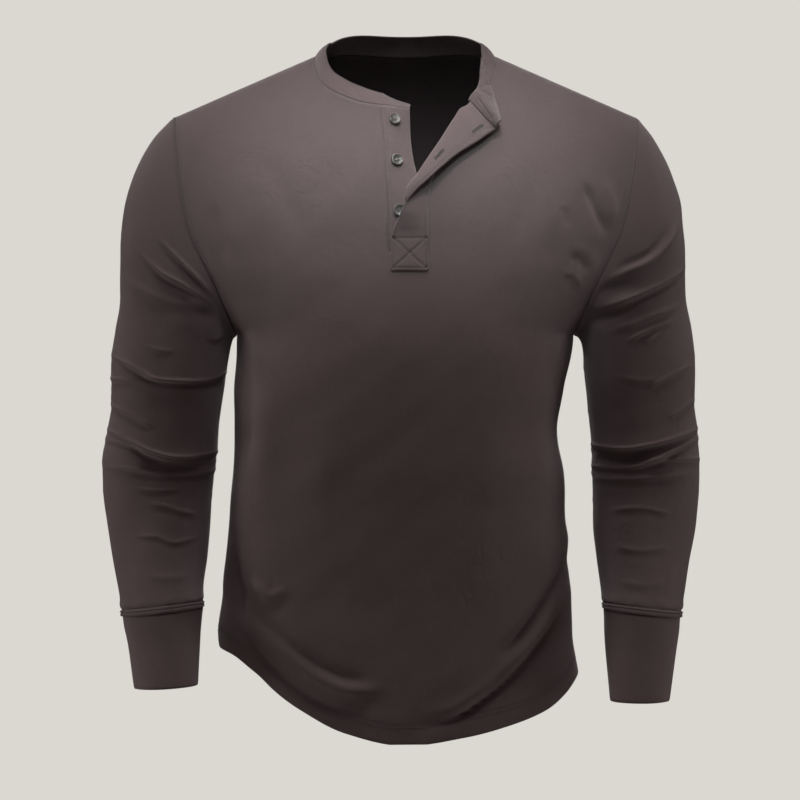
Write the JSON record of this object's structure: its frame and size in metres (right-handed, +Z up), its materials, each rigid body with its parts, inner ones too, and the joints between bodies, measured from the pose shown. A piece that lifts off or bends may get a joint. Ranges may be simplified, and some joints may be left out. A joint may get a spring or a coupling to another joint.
{
  "type": "long-sleeved henley shirt, worn with no wearer shown",
  "caption": "Dark grey long-sleeved henley shirt, filled out as if worn, its button placket undone at the neck.",
  "frame": {"origin": "midway between the neck ends of the two shoulder seams, where the wearer's shoulders carry it", "axes": "+Z up, -Y the way the wearer faces, +X the wearer's left"},
  "size_m": [0.6206, 0.2296, 0.7312],
  "materials": {
    "jersey": "matte knitted jersey",
    "button": "satin"
  },
  "bodies": {
    "root": {"front": "jersey", "back": "jersey", "sleeve_R": "jersey", "sleeve_L": "jersey", "cuff_R": "jersey", "cuff_L": "jersey", "neckband": "jersey", "placket_under": "jersey", "placket_over": "jersey", "button_1": "button", "button_2": "button", "button_3": "button"}
  },
  "joints": []
}
